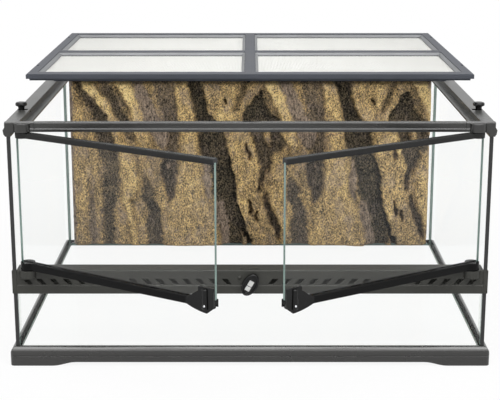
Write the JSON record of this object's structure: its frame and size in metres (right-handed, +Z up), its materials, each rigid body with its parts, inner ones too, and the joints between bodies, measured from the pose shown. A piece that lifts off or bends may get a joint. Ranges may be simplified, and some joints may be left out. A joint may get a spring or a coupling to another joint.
{
  "type": "reptile terrarium",
  "caption": "Low glass terrarium with two swinging front doors, a ventilation strip with a lock, a lift-off mesh lid with slide latches and a rock relief background.",
  "frame": {"origin": "on the surface that the feet stand on, under the middle of the whole box with the doors open and the lid raised as in the picture", "axes": "+X to the right along the tank's width, +Y towards the back pane, +Z up; the doors are at the front, -Y"},
  "size_m": [0.615, 0.602, 0.368],
  "materials": {
    "frame_plastic": "moulded, fine satin grain",
    "rim_plastic": "moulded, satin, with a soft sheen from above",
    "strip_plastic": "moulded, fine satin grain",
    "rail_plastic": "moulded, satin black",
    "lid_plastic": "moulded, bluish dark grey satin",
    "bead_plastic": "moulded, mid grey satin",
    "glass": "clear float glass with ground edges",
    "seal": "black silicone",
    "mesh": "fine woven stainless mesh",
    "rock": "coarse painted foam rock",
    "badge": "plain pale print",
    "steel": "turned steel"
  },
  "bodies": {
    "tank": {"base_frame": "frame_plastic", "floor_glass": "glass", "window_glass": "glass", "back_glass": "glass", "side_glass_left": "glass", "side_glass_right": "glass", "edge_trim_left": "seal", "edge_trim_right": "seal", "silicone_seams": "seal", "vent_strip": "strip_plastic", "vent_end_cap_left": "strip_plastic", "vent_end_cap_right": "strip_plastic", "top_front_bar": "frame_plastic", "top_corner_left": "frame_plastic", "top_corner_right": "frame_plastic", "top_side_rail_left": "rim_plastic", "top_side_rail_right": "rim_plastic", "top_rear_deck": "rim_plastic", "rock_background": "rock"},
    "door_left": {"door_glass_left": "glass", "door_top_rail_left": "rail_plastic", "door_bottom_rail_left": "rail_plastic", "door_corner_cap_left": "rail_plastic", "door_handle_left": "rail_plastic", "hinge_pins_left": "steel"},
    "door_right": {"door_glass_right": "glass", "door_top_rail_right": "rail_plastic", "door_bottom_rail_right": "rail_plastic", "door_corner_cap_right": "rail_plastic", "door_handle_right": "rail_plastic", "hinge_pins_right": "steel"},
    "lock": {"lock_knob": "rail_plastic", "lock_badge": "badge", "lock_spindle": "steel", "lock_cam": "steel", "lock_nut": "steel"},
    "lid": {"lid_frame": "lid_plastic", "lid_mesh_beads": "bead_plastic", "lid_mesh_front_left": "mesh", "lid_mesh_front_right": "mesh", "lid_mesh_rear_left": "mesh", "lid_mesh_rear_right": "mesh"},
    "inlet_cover_left": {"inlet_cover_left": "frame_plastic"},
    "inlet_cover_right": {"inlet_cover_right": "frame_plastic"},
    "lid_latch_front_left": {"lid_latch_front_left": "rail_plastic"},
    "lid_latch_front_right": {"lid_latch_front_right": "rail_plastic"},
    "lid_latch_rear_left": {"lid_latch_rear_left": "rail_plastic"},
    "lid_latch_rear_right": {"lid_latch_rear_right": "rail_plastic"}
  },
  "joints": [
    {"name": "door_left_swing", "type": "hinge", "parent": "tank", "child": "door_left", "pos_m": [-0.281, -0.1545, 0.1274], "axis": [0, 0, -1], "range_deg": [-30, 75]},
    {"name": "door_right_swing", "type": "hinge", "parent": "tank", "child": "door_right", "pos_m": [0.281, -0.1545, 0.1274], "axis": [0, 0, 1], "range_deg": [-30, 75]},
    {"name": "lock_turn", "type": "hinge", "parent": "tank", "child": "lock", "pos_m": [0, -0.1585, 0.1095], "axis": [0, 1, 0], "range_deg": [-30, 60]},
    {"name": "lid_lift", "type": "slide", "parent": "tank", "child": "lid", "axis": [0, 0.7071, 0.7071], "range_m": [-0.0707, 0]},
    {"name": "inlet_slide_left", "type": "slide", "parent": "tank", "child": "inlet_cover_left", "axis": [1, 0, 0], "range_m": [0, 0.046]},
    {"name": "inlet_slide_right", "type": "slide", "parent": "tank", "child": "inlet_cover_right", "axis": [-1, 0, 0], "range_m": [0, 0.046]},
    {"name": "lid_latch_front_left_slide", "type": "slide", "parent": "tank", "child": "lid_latch_front_left", "axis": [1, 0, 0], "range_m": [0, 0.0042]},
    {"name": "lid_latch_front_right_slide", "type": "slide", "parent": "tank", "child": "lid_latch_front_right", "axis": [-1, 0, 0], "range_m": [0, 0.0042]},
    {"name": "lid_latch_rear_left_slide", "type": "slide", "parent": "tank", "child": "lid_latch_rear_left", "axis": [1, 0, 0], "range_m": [0, 0.0042]},
    {"name": "lid_latch_rear_right_slide", "type": "slide", "parent": "tank", "child": "lid_latch_rear_right", "axis": [-1, 0, 0], "range_m": [0, 0.0042]}
  ]
}
